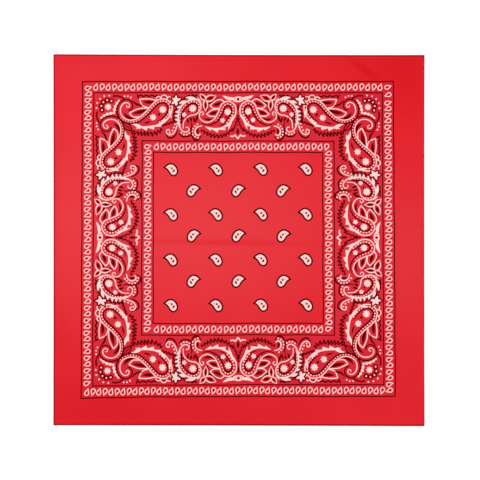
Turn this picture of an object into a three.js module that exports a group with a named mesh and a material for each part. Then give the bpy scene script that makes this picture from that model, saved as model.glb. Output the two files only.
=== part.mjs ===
// A square cotton bandana laid flat, print side up, with its four narrow hems turned to the back.
// Millimetres, +Z up. The origin is the middle of the square on the surface that the cloth lies on,
// +X runs to the right of the print and +Y to its top.
import * as THREE from 'three';

// Driving dimensions
const SIDE = 550;          // finished square, from hem fold to hem fold
const WALL = 1;            // panel wall, a stand-in for one layer of thin cotton
const HEM_WIDTH = 5;       // finished width of the rolled hem
const HEM_WALL = 1;        // three layers of cotton pressed flat
const SEAM_GAP = 0.3;      // clearance between the panel and the hem turned under it
const HEM_SLOPE = 7;       // run over which the panel comes down from a hem to the surface
const OFF_GRAIN = 0.6;     // how far the left side rides up and the right side hangs down
const CELLS = 34;          // cells across the sheet each way, two of them in each border

// How far each side draws in half-way along, where the hem stitching tightens it
const DRAW_IN = { left: 0.3, right: 0.4, top: 0.5, bottom: 0.3 };

// Soft folds that stand up from the surface. x, y: middle. along, across: half-lengths.
// turn: degrees anticlockwise from +X. rise: height added to the panel's upper side.
const FOLDS = [
  { name: 'storage fold', x: -70, y: 6, along: 130, across: 16, turn: 0, rise: 0.5 },
  { name: 'left margin swell', x: -248, y: 60, along: 150, across: 20, turn: 90, rise: 0.8 },
  { name: 'top margin swell', x: -60, y: 252, along: 120, across: 18, turn: 2, rise: 0.5 },
  { name: 'top right drag', x: 178, y: 248, along: 46, across: 12, turn: -38, rise: 0.9 },
  { name: 'right margin swell', x: 252, y: -60, along: 110, across: 18, turn: 88, rise: 0.6 },
  { name: 'bottom margin swell', x: 60, y: -254, along: 140, across: 18, turn: -2, rise: 0.6 },
  { name: 'field swell', x: -50, y: -60, along: 90, across: 40, turn: 35, rise: 0.4 },
];

const HALF = SIDE / 2;
const HEM_INNER = HALF - HEM_WIDTH;
const FLAT_HALF = HEM_INNER - HEM_SLOPE;

// Where the grid lines cross each axis: the hem fold, the hem's inner edge, then evenly over the flat
function gridStations() {
  const evenCells = CELLS - 4;
  const even = Array.from({ length: evenCells + 1 }, (_, i) => FLAT_HALF * (2 * i / evenCells - 1));
  return [-HALF, -HEM_INNER, ...even, HEM_INNER, HALF];
}

// A point of the true square moved to where it lies, with the sides drawn in and the cloth off grain
function laidPlan(x, y) {
  const acrossX = x / HALF;
  const acrossY = y / HALF;
  const drawX = acrossX < 0 ? DRAW_IN.left : DRAW_IN.right;
  const drawY = acrossY < 0 ? DRAW_IN.bottom : DRAW_IN.top;
  return {
    x: x - acrossX * drawX * (1 - acrossY * acrossY),
    y: y - acrossY * drawY * (1 - acrossX * acrossX) - OFF_GRAIN * acrossX,
  };
}

// How far the hem beneath holds the panel off the surface
function hemLift(x, y) {
  const fromMiddle = Math.max(Math.abs(x), Math.abs(y));
  return (HEM_WALL + SEAM_GAP) * THREE.MathUtils.smoothstep(fromMiddle, FLAT_HALF, HEM_INNER);
}

// The soft folds' height at a point, each one fading out round its middle
function foldHeight(x, y) {
  return FOLDS.reduce((sum, fold) => {
    const turn = THREE.MathUtils.degToRad(fold.turn);
    const offX = x - fold.x;
    const offY = y - fold.y;
    const along = (offX * Math.cos(turn) + offY * Math.sin(turn)) / fold.along;
    const across = (offY * Math.cos(turn) - offX * Math.sin(turn)) / fold.across;
    return sum + fold.rise * Math.exp(-along * along - across * across);
  }, 0);
}

// Moves each vertex of a geometry to place(x, y, z)
function moveVertices(geometry, place) {
  const position = geometry.attributes.position;
  for (let i = 0; i < position.count; i += 1) {
    const to = place(position.getX(i), position.getY(i), position.getZ(i));
    position.setXYZ(i, to.x, to.y, to.z);
  }
  geometry.computeVertexNormals();
  return geometry;
}

function cottonMesh(name, geometry) {
  const cotton = new THREE.MeshStandardMaterial({ color: 0xde3039, roughness: 0.86, metalness: 0 });
  const mesh = new THREE.Mesh(geometry, cotton);
  mesh.name = name;
  return mesh;
}

// The square panel: flat beneath, lifted over the hems, with the soft folds on its upper side
function panel() {
  const stations = gridStations();
  const onStation = (even) => stations[Math.round((even / SIDE + 0.5) * CELLS)];
  const block = new THREE.BoxGeometry(SIDE, SIDE, WALL, CELLS, CELLS, 1);
  return cottonMesh('panel', moveVertices(block, (evenX, evenY, z) => {
    const x = onStation(evenX);
    const y = onStation(evenY);
    const rise = z > 0 ? WALL + foldHeight(x, y) : 0;
    return { ...laidPlan(x, y), z: hemLift(x, y) + rise };
  }));
}

// One hem: a flat strip under its side of the panel, bent to the same outline
function hem({ name, turn, length }) {
  const strip = new THREE.BoxGeometry(length, HEM_WIDTH, HEM_WALL, CELLS, 1, 1);
  strip.translate(0, HALF - HEM_WIDTH / 2, HEM_WALL / 2);
  strip.rotateZ(THREE.MathUtils.degToRad(turn));
  return cottonMesh(name, moveVertices(strip, (x, y, z) => ({ ...laidPlan(x, y), z })));
}

// The side hems run the full height; the top and bottom hems end just clear of them.
// turn: degrees anticlockwise from the top side.
const HEMS = [
  { name: 'hem_top', turn: 0, length: 2 * (HEM_INNER - SEAM_GAP) },
  { name: 'hem_left', turn: 90, length: SIDE },
  { name: 'hem_bottom', turn: 180, length: 2 * (HEM_INNER - SEAM_GAP) },
  { name: 'hem_right', turn: 270, length: SIDE },
];

const bandana = new THREE.Group();
bandana.add(panel(), ...HEMS.map(hem));

export default bandana;
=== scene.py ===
"""A square cotton bandana laid flat: printed cloth, four turned hems, lockstitching and a soft studio."""

import cmath
import logging
import math
from collections.abc import Callable
from dataclasses import dataclass, field
from enum import Enum

import bmesh
import bpy
from mathutils import Matrix, Vector, noise
from mathutils.geometry import delaunay_2d_cdt


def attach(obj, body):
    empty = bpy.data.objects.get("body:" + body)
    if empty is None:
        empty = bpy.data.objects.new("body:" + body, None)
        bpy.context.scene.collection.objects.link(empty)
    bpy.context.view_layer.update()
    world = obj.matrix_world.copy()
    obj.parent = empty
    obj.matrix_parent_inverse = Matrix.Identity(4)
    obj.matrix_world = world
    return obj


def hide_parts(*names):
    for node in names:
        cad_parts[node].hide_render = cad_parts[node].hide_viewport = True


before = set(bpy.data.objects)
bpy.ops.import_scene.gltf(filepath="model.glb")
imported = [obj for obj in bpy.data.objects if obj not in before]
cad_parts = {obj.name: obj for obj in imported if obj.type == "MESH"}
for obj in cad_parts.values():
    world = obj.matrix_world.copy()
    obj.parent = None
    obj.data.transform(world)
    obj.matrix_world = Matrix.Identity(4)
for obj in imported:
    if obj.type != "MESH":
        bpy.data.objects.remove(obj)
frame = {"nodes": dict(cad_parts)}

LOG = logging.getLogger("bandana")
MM = 0.001
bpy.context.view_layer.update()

Spot = complex  # a point of the print in millimetres: real part to the right, imaginary part inwards or up
Path = list[Spot]
Pairs = tuple[tuple[float, float], ...]
Widths = tuple[float, ...]
Move = Callable[[Spot], Spot]
Colour = tuple[float, float, float, float]


def held(value: float) -> float:
    """Return a number held between 0 and 1."""
    return min(1.0, max(0.0, value))


# ---------------------------------------------------------------- how the cloth lies


@dataclass(frozen=True)
class SoftFold:
    """A soft rise, used for the cloth's height and for the painted light and shade on it, in millimetres and
    degrees.
    """

    x: float
    y: float
    along: float
    across: float
    turn: float
    rise: float

    def height(self, x: float, y: float) -> float:
        """Return the rise at a point, falling away round the fold's middle."""
        off = complex(x - self.x, y - self.y) * cmath.rect(1, -math.radians(self.turn))
        return self.rise * math.exp(-((off.real / self.along) ** 2) - (off.imag / self.across) ** 2)


@dataclass(frozen=True)
class PaintedLightAndGround:
    """Painted light and shade in the cloth's colour, lighter above 0 and darker below 0, with the dark rim,
    and the printed ground.

    The rim's tone is at -2 and below.

    Sides are listed in the order left, right, top, bottom, and lengths are in millimetres.
    """

    attribute: str = "fading"
    printed: str = "printed_ground"
    all_over: float = -0.45
    # Broad patches of painted light (rise above 0) and painted shade (below 0): the sheen and shade of the
    # cloth's soft folds, painted into its colour. The two thin ones, along the middle at y -3.5 and slanting
    # near the top right corner, are painted shade along creases.
    patches: tuple[SoftFold, ...] = (
        SoftFold(-60, 20, 290, 190, 0, 1.4),
        SoftFold(-250, 60, 60, 190, 0, 0.45),
        SoftFold(255, -40, 40, 150, 0, 0.6),
        SoftFold(-160, 255, 160, 45, 0, 0.5),
        SoftFold(250, 250, 90, 90, 0, -0.5),
        SoftFold(-20, -3.5, 110, 4, -1, -0.6),
        SoftFold(-100, -14, 26, 6, 0, 0.4),
        SoftFold(184, 254, 36, 5, -38, -0.6),
        SoftFold(-190, -255, 110, 50, 0, -0.3),
        SoftFold(200, -250, 80, 60, 0, 0.3),
    )
    half: float = 275.0
    off_grain: float = 0.6
    drawn_in: float = 0.38
    # The dark rim along each rolled edge, its level set side by side in rims: painted shade of the edge
    # turning under, partly the thicker fold's deeper colour.
    rim_width: float = 2.36
    rim_slope: float = 1.9
    rims: tuple[float, float, float, float] = (-5.0, -1.5, -5.0, -6.0)
    # The outermost millimetre of each edge, its level set side by side in folds: painted light and shade on
    # the fold's crest.
    fold_width: float = 1.0
    fold_slope: float = 0.5
    folds: tuple[float, float, float, float] = (0.5, 0.2, -0.4, 0.8)
    border: tuple[float, float, float, float] = (126.0, 142.0, 214.0, 232.0)
    border_rise: float = 2.0
    drops_share: float = 0.6

    def level(self, x: float, y: float) -> float:
        """Return the painted light and shade level at a point, in millimetres from the middle.

        Args:
            x: Distance to the right.
            y: Distance upwards.

        Returns:
            The level: 1 for the palest painted light, -1 for the deepest tone with painted shade, -2 and
                below for the folded rim's painted shade.
        """
        level = self.all_over + sum(patch.height(x, y) for patch in self.patches)
        x, y = self.unlaid(x, y)
        for side, reach in ((int(x > 0), abs(x)), (2 + int(y < 0), abs(y))):
            inset = self.half - reach
            level += held((self.rim_width - inset) / self.rim_slope) * (self.rims[side] - level)
            level += held((self.fold_width - inset) / self.fold_slope) * (self.folds[side] - level)
        return level

    def unlaid(self, x: float, y: float) -> tuple[float, float]:
        """Return where a point of the laid cloth lies in its flat square, near enough to find the rim.

        Args:
            x: Distance to the right of the middle.
            y: Distance above the middle.

        Returns:
            The same two distances on the flat square.
        """
        across, up = x / self.half, y / self.half
        x += across * self.drawn_in * (1 - held(up * up))
        y += up * self.drawn_in * (1 - held(across * across)) + across * self.off_grain
        return x, y

    def ground(self, x: float, y: float) -> float:
        """Return how far the printing has dulled the ground at a point.

        Args:
            x: Distance to the right of the middle.
            y: Distance above the middle.

        Returns:
            1 between the paisleys, less between the drops and 0 elsewhere.
        """
        inner, ledge, outer_ledge, outer = self.border
        reach = max(abs(x), abs(y - self.border_rise))
        if ledge < reach < outer_ledge:
            return 1.0
        return self.drops_share if inner < reach < outer else 0.0

    def mark(self, mesh: bpy.types.Mesh) -> None:
        """Write the painted light and shade level and the printed ground on a mesh's points, for its material
        to read.

        Args:
            mesh: The mesh, in metres.
        """
        for name, found in ((self.attribute, self.level), (self.printed, self.ground)):
            layer = mesh.attributes.new(name, "FLOAT", "POINT")
            for vert, value in zip(mesh.vertices, layer.data):
                value.value = found(vert.co.x / MM, vert.co.y / MM)


@dataclass(frozen=True)
class Lay:
    """How the square of cloth lies on the surface, in millimetres from its middle."""

    side: float = 550.0
    cloth: float = 0.3
    hem_width: float = 5.0
    hem_stack: float = 0.62
    hem_slope: float = 7.0
    off_grain: float = 0.6
    draw_in: tuple[float, float, float, float] = (0.3, 0.4, 0.5, 0.3)
    seam_inset: float = 4.0
    seam_dip: float = 0.14
    seam_width: float = 0.8
    pucker_rise: float = 0.34
    pucker_reach: float = 9.0
    pucker_pitch: float = 7.5
    pucker_run: float = 26.0
    gather_pitch: float = 45.0
    drift_rise: float = 0.5
    drift_pitch: float = 70.0
    ripple_rise: float = 0.05
    ripple_pitch: tuple[float, float] = (24.0, 19.0)
    lift_share: float = 0.35
    crease_middle: Spot = -60 + 3j
    crease_sway: float = 1.5
    crease_sway_pitch: float = 60.0
    crease_reach: float = 260.0
    crease_depth: float = 0.16
    crease_width: float = 2.6
    floor_gap: float = 0.04
    folds: tuple[SoftFold, ...] = (
        SoftFold(-70, 6, 130, 16, 0, 0.5),
        SoftFold(-248, 60, 150, 20, 90, 0.8),
        SoftFold(-60, 252, 120, 18, 2, 0.5),
        SoftFold(178, 248, 46, 12, -38, 0.9),
        SoftFold(252, -60, 110, 18, 88, 0.6),
        SoftFold(60, -254, 140, 18, -2, 0.6),
        SoftFold(-50, -60, 90, 40, 35, 0.4),
    )

    @property
    def half(self) -> float:
        """Half the finished side."""
        return self.side / 2

    def plan(self, x: float, y: float) -> tuple[float, float]:
        """Move a point of the true square to where it lies: sides drawn in, cloth a little off grain.

        Args:
            x: Distance to the right of the middle.
            y: Distance above the middle.

        Returns:
            The point's place on the surface.
        """
        left, right, top, bottom = self.draw_in
        across_x, across_y = x / self.half, y / self.half
        draw_x = left if across_x < 0 else right
        draw_y = bottom if across_y < 0 else top
        return (
            x - across_x * draw_x * (1 - across_y**2),
            y - across_y * draw_y * (1 - across_x**2) - self.off_grain * across_x,
        )

    def unplan(self, x: float, y: float) -> tuple[float, float]:
        """Return the point of the true square that lies at a place, near enough for its height."""
        at_x, at_y = self.plan(x, y)
        return 2 * x - at_x, 2 * y - at_y

    def hem_lift(self, x: float, y: float) -> float:
        """Return how far the layers turned under the edge hold the cloth up.

        Args:
            x: Distance to the right of the middle.
            y: Distance above the middle.

        Returns:
            The lift: the whole stack over the hem, easing to nothing over the slope inside it.
        """
        inner = self.half - self.hem_width
        share = held((max(abs(x), abs(y)) - inner + self.hem_slope) / self.hem_slope)
        return self.hem_stack * share * share * (3 - 2 * share)

    def puckers(self, x: float, y: float) -> float:
        """Return the small ripples that the hem stitching gathers along each side.

        Args:
            x: Distance to the right of the middle.
            y: Distance above the middle.

        Returns:
            The rise at that point; each side's ripples come from a layer of noise of its own.
        """
        total = 0.0
        for side, (from_edge, along) in enumerate(
            ((self.half - x, y), (self.half - y, x), (self.half + x, y), (self.half + y, x))
        ):
            fade = math.exp(-((from_edge / self.pucker_reach) ** 2))
            if fade > 0.01:
                at = Vector((along / self.pucker_pitch, from_edge / self.pucker_run, side * 7.3))
                gather = noise.noise(Vector((along / self.gather_pitch, 3.1, side * 5.9)))
                total += fade * (0.6 + 0.8 * abs(gather)) * (noise.noise(at) + self.lift_share)
        return self.pucker_rise * max(0.0, total)

    def under(self, x: float, y: float) -> float:
        """Return the height of the cloth's underside at a point.

        Args:
            x: Distance to the right of the middle.
            y: Distance above the middle.

        Returns:
            The height: the hem's lift, the soft folds, drift, crease and puckers, less the dent of the seam.
        """
        drift = noise.noise(Vector((x / self.drift_pitch, y / self.drift_pitch, 4.2))) + self.lift_share
        ripple = noise.noise(Vector((x / self.ripple_pitch[0], y / self.ripple_pitch[1], 9.7)))
        soft = sum(fold.height(x, y) for fold in self.folds)
        edge = self.half - max(abs(x), abs(y))
        dip = self.seam_dip * math.exp(-(((edge - self.seam_inset) / self.seam_width) ** 2))
        small = self.ripple_rise * ripple + self.crease(x, y) + self.puckers(x, y) - dip
        return self.floor_gap + self.hem_lift(x, y) + max(0.0, soft + self.drift_rise * drift + small)

    def crease(self, x: float, y: float) -> float:
        """Return the rise of the storage crease, a low wavering ridge across the middle.

        Args:
            x: Distance to the right of the middle.
            y: Distance above the middle.

        Returns:
            The rise at that point.
        """
        sway = self.crease_sway * math.sin(x / self.crease_sway_pitch)
        off = (y - self.crease_middle.imag - sway) / self.crease_width
        fade = max(0.0, 1 - abs(x - self.crease_middle.real) / self.crease_reach)
        return self.crease_depth * math.exp(-(off**2)) * fade

    def top(self, x: float, y: float) -> float:
        """Return the height of the printed side at a point."""
        return self.under(x, y) + self.cloth

    def place(self, x: float, y: float, height: float) -> Vector:
        """Return a point of the true square, at its own height, in metres."""
        at_x, at_y = self.plan(x, y)
        return Vector((at_x * MM, at_y * MM, height * MM))


# ---------------------------------------------------------------- drawing the print


class Ink(Enum):
    """What is printed, or bare cloth kept clear of what lies under it."""

    LIGHT = "light_print"
    DARK = "black_print"
    BARE = "bare_cloth"


STEP = 1.5  # about how long the short legs of a round curve are
PEN = 1.55  # width of the finest light lines
NIB = 1.85  # width of the stems and rings
DOT = 1.15  # radius of most dots
EYE = 0.35  # radius of a rosette's dark eye


def spots(*pairs: tuple[float, float]) -> Path:
    """Return pairs of numbers as spots."""
    return [complex(*pair) for pair in pairs]


def smooth(points: Path, closed: bool = False) -> Path:
    """Draw a round curve through a few points.

    Args:
        points: The points that the curve's shape needs.
        closed: Whether it returns to its start.

    Returns:
        The curve, in short even steps.
    """
    if closed:
        knots = [points[-1], *points, *points[:2]]
    else:
        knots = [2 * points[0] - points[1], *points, 2 * points[-1] - points[-2]]
    path = []
    for a, b, c, d in zip(knots, knots[1:], knots[2:], knots[3:]):
        at_b = abs(b - a) ** 0.5
        at_c = at_b + abs(c - b) ** 0.5
        at_d = at_c + abs(d - c) ** 0.5
        steps = max(2, round(abs(c - b) / STEP))
        for i in range(steps):
            t = at_b + (at_c - at_b) * i / steps
            ab = a + (b - a) * t / at_b
            bc = b + (c - b) * (t - at_b) / (at_c - at_b)
            cd = c + (d - c) * (t - at_c) / (at_d - at_c)
            abc = ab + (bc - ab) * t / at_c
            bcd = bc + (cd - bc) * (t - at_b) / (at_d - at_b)
            path.append(abc + (bcd - abc) * (t - at_b) / (at_c - at_b))
    return path if closed else [*path, points[-1]]


def curve(*pairs: tuple[float, float]) -> Path:
    """Return an open round curve through pairs of numbers."""
    return smooth(spots(*pairs))


def loop(*pairs: tuple[float, float]) -> Path:
    """Return a closed round curve through pairs of numbers."""
    return smooth(spots(*pairs), closed=True)


def arc(middle: Spot, radius: float, start: float, sweep: float, steps: int = 9) -> Path:
    """Return part of a circle, its angles in degrees."""
    return [middle + cmath.rect(radius, math.radians(start + sweep * i / steps)) for i in range(steps + 1)]


def ring_turns(count: int) -> list[float]:
    """Return evenly spaced angles round a full turn."""
    return [math.tau * i / count for i in range(count)]


def disc(middle: Spot, radius: float, sides: int = 10) -> Path:
    """Return a round outline."""
    return [middle + cmath.rect(radius, turn) for turn in ring_turns(sides)]


def lobed(middle: Spot, radius: float, lobes: int, depth: float = 0.3) -> Path:
    """Return a rosette's outline, notched between its lobes.

    Args:
        middle: Its middle.
        radius: Its reach at the tips of the lobes.
        lobes: How many lobes it has.
        depth: How deep the notches are, as a share of the radius.

    Returns:
        The closed outline.
    """
    reaches = [radius * (1 - depth * abs(math.sin(turn * lobes / 2)) ** 3) for turn in ring_turns(lobes * 6)]
    return [middle + cmath.rect(reach, turn) for reach, turn in zip(reaches, ring_turns(lobes * 6))]


def spindle(start: Spot, end: Spot, width: float, bend: float = 0.0) -> Path:
    """Return a pointed leaf shape between two tips.

    Args:
        start: First tip.
        end: Second tip.
        width: Width at its middle.
        bend: How far its middle is pushed to the right of travel.

    Returns:
        The closed outline.
    """
    side = 1j * (end - start) / abs(end - start)
    steps = max(4, round(abs(end - start) / STEP))
    shares = [i / steps for i in range(steps + 1)]
    spine = [start + (end - start) * t + side * bend * 4 * t * (1 - t) for t in shares]
    half = [side * width / 2 * math.sin(math.pi * t) for t in shares]
    back = [p + h for p, h in zip(spine, half)]
    return [p - h for p, h in zip(spine, half)] + back[-2:0:-1]


def teardrop(tip: Spot, bulb: Spot, radius: float, sides: int = 12) -> Path:
    """Return a drop's outline: a round bulb drawn out to a tip.

    Args:
        tip: The tip.
        bulb: The bulb's middle.
        radius: The bulb's radius.
        sides: How many short legs the bulb has.

    Returns:
        The closed outline.
    """
    reach = tip - bulb
    lean = math.degrees(math.acos(min(1.0, radius / abs(reach))))
    towards = math.degrees(cmath.phase(reach))
    return [tip, *arc(bulb, radius, towards + lean, 360 - 2 * lean, sides)]


def headings(path: Path) -> Path:
    """Return the direction of travel at each spot, lengthened at corners so that a line keeps its width.

    Args:
        path: The path.

    Returns:
        A direction for each of its spots.
    """
    found = []
    for i, spot in enumerate(path):
        before = spot - path[i - 1] if i else path[1] - spot
        after = path[i + 1] - spot if i + 1 < len(path) else before
        before /= abs(before) or 1
        after /= abs(after) or 1
        middle = before + after
        half = abs(middle) / 2
        found.append(middle / abs(middle) / max(half, 0.6) if half > 0.05 else before)
    return found


def spread(values: tuple[float, ...], share: float) -> float:
    """Return the value at a share of the way along evenly spaced values.

    Args:
        values: The values, two or more.
        share: How far along, from 0 to 1.

    Returns:
        The value there, between its two neighbours.
    """
    place = share * (len(values) - 1)
    low = min(int(place), len(values) - 2)
    return values[low] + (values[low + 1] - values[low]) * (place - low)


def beside(path: Path, *gaps: float) -> Path:
    """Return the line that runs beside a path, to the right of travel.

    Args:
        path: The path.
        gaps: Distances from it, spread along it.

    Returns:
        The line, with a spot for each of the path's.
    """
    gaps = gaps * 2 if len(gaps) == 1 else gaps
    last = len(path) - 1
    return [
        spot + 1j * heading * spread(gaps, i / last)
        for i, (spot, heading) in enumerate(zip(path, headings(path)))
    ]


def even(path: Path, pitch: float) -> Path:
    """Return spots at an even pitch along a path, both ends included.

    Args:
        path: The path.
        pitch: About how far apart they are; it is rounded to fit a whole number of them.

    Returns:
        The spots.
    """
    total = sum(abs(b - a) for a, b in zip(path, path[1:]))
    count = max(1, round(total / pitch))
    found, gone, i = [], 0.0, 0
    for mark in (total * n / count for n in range(count + 1)):
        while i < len(path) - 2 and gone + abs(path[i + 1] - path[i]) < mark:
            gone += abs(path[i + 1] - path[i])
            i += 1
        leg = path[i + 1] - path[i]
        found.append(path[i] + leg * min(1.0, (mark - gone) / (abs(leg) or 1)))
    return found


def part(path: Path, start: float, end: float) -> Path:
    """Return the stretch of a path between two shares of its length in steps."""
    last = len(path) - 1
    return path[round(start * last) : round(end * last) + 1]


def zigzag(path: Path, pitch: float, *heights: float, lean: float = 0.0) -> Path:
    """Draw a saw-toothed line that swings from a path to its right and back.

    Args:
        path: The path.
        pitch: Distance from tooth to tooth.
        heights: Heights of the teeth, spread along the path.
        lean: How far each tooth's tip is pushed on along the path.

    Returns:
        The open line.
    """
    marks = even(path, pitch / 2)
    tips = [tip + lean * way for tip, way in zip(beside(marks, *heights), headings(marks))]
    return [tips[i] if i % 2 else mark for i, mark in enumerate(marks)]


@dataclass
class Artwork:
    """Flat shapes painted one over another."""

    shapes: list[tuple[Ink, Path]] = field(default_factory=list)

    def fill(self, ink: Ink, *outlines: Path) -> None:
        """Paint closed outlines."""
        self.shapes += [(ink, outline) for outline in outlines]

    def stroke(self, ink: Ink, path: Path, *widths: float) -> None:
        """Paint a line.

        Args:
            ink: What it is painted in.
            path: Its middle line.
            widths: Its widths, spread along it.
        """
        half = tuple(width / 2 for width in (widths * 2 if len(widths) == 1 else widths))
        left = beside(path, *(-width for width in half))
        right = beside(path, *half)
        for a, b, c, d in zip(left, left[1:], right[1:], right):
            self.fill(ink, [a, b, c], [a, c, d])

    def jagged(self, ink: Ink, path: Path, width: float) -> None:
        """Paint a sharply turning line, each leg of it full width."""
        for start, end in zip(path, path[1:]):
            self.stroke(ink, [start, end], width)

    def ring(self, ink: Ink, outline: Path, width: float) -> None:
        """Paint a closed line of one width."""
        start = (outline[0] + outline[1]) / 2
        self.stroke(ink, [start, *outline[1:], outline[0], start], width)

    def dots(self, ink: Ink, path: Path, pitch: float, *radii: float) -> None:
        """Paint a row of dots.

        Args:
            ink: What they are painted in.
            path: The line that they follow.
            pitch: Their distance from one another.
            radii: Their radii, spread along the row.
        """
        radii = radii * 2 if len(radii) == 1 else radii
        marks = even(path, pitch)
        last = max(1, len(marks) - 1)
        self.fill(ink, *(disc(spot, spread(radii, i / last), 8) for i, spot in enumerate(marks)))

    def rosette(self, middle: Spot, radius: float, lobes: int = 8) -> None:
        """Paint a light rosette with a fine dark eye."""
        self.fill(Ink.LIGHT, lobed(middle, radius, lobes))
        self.fill(Ink.DARK, disc(middle, EYE, 6))


@dataclass(frozen=True)
class Brush:
    """One round line of the print: the few points that it runs through and the widths spread along it."""

    points: Pairs
    widths: Widths = (PEN,)

    def paint(self, art: Artwork, ink: Ink) -> None:
        """Paint the line."""
        art.stroke(ink, curve(*self.points), *self.widths)


@dataclass(frozen=True)
class DotRow:
    """One row of dots: the few points that it runs through, their pitch and their radii."""

    points: Pairs
    pitch: float
    radii: Widths = (DOT,)

    def paint(self, art: Artwork) -> None:
        """Paint the dots in the light ink."""
        art.dots(Ink.LIGHT, curve(*self.points), self.pitch, *self.radii)


# ---------------------------------------------------------------- motifs of the border, one eighth of it


@dataclass(frozen=True)
class CornerSpray:
    """A rosette in the corner, with five ringed petals, an outer arc of dots and two chains of beads."""

    heart: Spot = 21.5 + 21.5j
    heart_radius: float = 4.8
    towards: float = 225.0
    petals: int = 5
    petal_turn: float = 36.0
    petal_reach: float = 10.4
    petal_layers: tuple[tuple[Ink, float, int], ...] = (
        (Ink.DARK, 3.8, 14),
        (Ink.BARE, 2.0, 10),
        (Ink.LIGHT, 1.2, 8),
    )
    dot_turn: float = 25.0
    dot_reach: float = 17.4
    dot_radius: float = 1.3
    frill: Pairs = ((28.5, 6), (36, 5.5), (45, 9.5))
    beads: tuple[tuple[float, float, float], ...] = (
        (37.6, 11.6, 1.5),
        (34.4, 15.6, 2.1),
        (32, 20.4, 2.3),
        (30.8, 25.4, 2.3),
        (30.2, 30.2, 1.8),
    )
    outer_dots: DotRow = DotRow(((45.5, 5), (50.5, 5), (55, 7)), 5, (1.25,))
    vein: tuple[Spot, Spot] = (43.5 + 43.5j, 57.5 + 57.5j)

    def draw(self, art: Artwork) -> None:
        """Paint the spray; it is the same on both sides of the diagonal.

        Args:
            art: What it is painted on.
        """
        steps = [i - (self.petals - 1) / 2 for i in range(self.petals)]
        petals = [self.round_heart(self.petal_reach, self.petal_turn * step) for step in steps]
        for ink, radius, sides in self.petal_layers:
            art.fill(ink, *(disc(petal, radius, sides) for petal in petals))
        for step in steps:
            at = self.round_heart(self.dot_reach, self.dot_turn * step)
            art.fill(Ink.LIGHT, disc(at, self.dot_radius, 8))
        art.rosette(self.heart, self.heart_radius)
        art.jagged(Ink.DARK, zigzag(curve(*self.frill), 4.2, -1.8), 2.1)
        chain = [complex(x, y) for x, y, _ in self.beads]
        art.stroke(Ink.LIGHT, smooth(chain), 1.7)
        for spot, (_, _, size) in zip(chain, self.beads):
            mirrored = complex(spot.imag, spot.real)
            art.fill(Ink.LIGHT, lobed(spot, size, 5, 0.15), lobed(mirrored, size, 5, 0.15))
        self.outer_dots.paint(art)
        art.ring(Ink.DARK, spindle(*self.vein, 8), NIB)
        art.fill(Ink.DARK, spindle(*self.vein, 1.6))

    def round_heart(self, reach: float, turn: float) -> Spot:
        """Return a spot out from the heart, its turn in degrees from the corner's own direction."""
        return self.heart + cmath.rect(reach, math.radians(self.towards + turn))


@dataclass(frozen=True)
class Leaf:
    """A pointed leaf that grows from a scroll: a light outline round a dark toothed heart."""

    tip: tuple[float, float]
    upper: Pairs
    lower: Pairs
    heart: tuple[Spot, Spot]
    width: float = 3.4
    bend: float = 0.8
    tooth: float = 1.15

    def draw(self, art: Artwork) -> None:
        """Paint the leaf over what lies under it.

        Args:
            art: What it is painted on.
        """
        edges = (curve(self.tip, *self.upper), curve(self.tip, *self.lower))
        art.fill(Ink.BARE, edges[0] + edges[1][::-1])
        heart = spindle(*self.heart, self.width, self.bend)
        teeth = heart[1 : len(heart) // 2 : 2]
        art.fill(Ink.DARK, heart, *(disc(spot, self.tooth, 5) for spot in teeth))
        for edge in edges:
            art.stroke(Ink.LIGHT, edge, PEN)


@dataclass(frozen=True)
class ScrollPaisley:
    """An S-shaped paisley: a scroll at its tail and a round head, all on one light spine."""

    spine: Brush
    dark_gaps: Widths
    dark_widths: Widths
    dark_from: float
    dots_from: float
    feather: Pairs
    feather_depths: Widths
    rosettes: tuple[tuple[Spot, float, int], ...]
    fringe: Pairs
    fringe_heights: Widths
    leaves: tuple[Leaf, ...]
    wedges: tuple[tuple[Spot, Spot, float, float], ...]
    spikes: tuple[tuple[Spot, Spot, float], ...]
    dot_radii: Widths = (0.7, 0.95, DOT, DOT, DOT)
    dot_pitch: float = 4.3
    dot_share: float = 0.58
    tooth_pitch: float = 10.4
    tooth_heights: Widths = (1.6, 3.9, 3.9, 3.2, 3)
    tooth_lean: float = 3.8
    fringe_pitch: float = 4.9
    fringe_lean: float = -2.6
    fringe_width: float = 1.9

    def draw(self, art: Artwork) -> None:
        """Paint the leaves, then the dark inner line, the feathered foot, the spine and its trimmings.

        Args:
            art: What it is painted on.
        """
        spine = curve(*self.spine.points)
        for leaf in self.leaves:
            leaf.draw(art)
        dark = beside(spine, *self.dark_gaps)
        art.stroke(Ink.DARK, part(dark, self.dark_from, 1), *self.dark_widths)
        feather = curve(*self.feather)
        depths = beside(feather, *self.feather_depths)
        foot = zigzag(depths, self.tooth_pitch, *self.tooth_heights, lean=self.tooth_lean)
        art.fill(Ink.LIGHT, feather + foot[::-1])
        art.fill(Ink.LIGHT, *(spindle(*spike, 0.5) for spike in self.spikes))
        self.spine.paint(art, Ink.LIGHT)
        dots = beside(spine, *(gap * self.dot_share for gap in self.dark_gaps))
        art.dots(Ink.LIGHT, part(dots, self.dots_from, 0.98), self.dot_pitch, *self.dot_radii)
        art.fill(Ink.DARK, *(spindle(*wedge) for wedge in self.wedges))
        for middle, radius, lobes in self.rosettes:
            art.rosette(middle, radius, lobes)
        fringe = zigzag(curve(*self.fringe), self.fringe_pitch, *self.fringe_heights, lean=self.fringe_lean)
        art.jagged(Ink.DARK, fringe, self.fringe_width)


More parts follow.
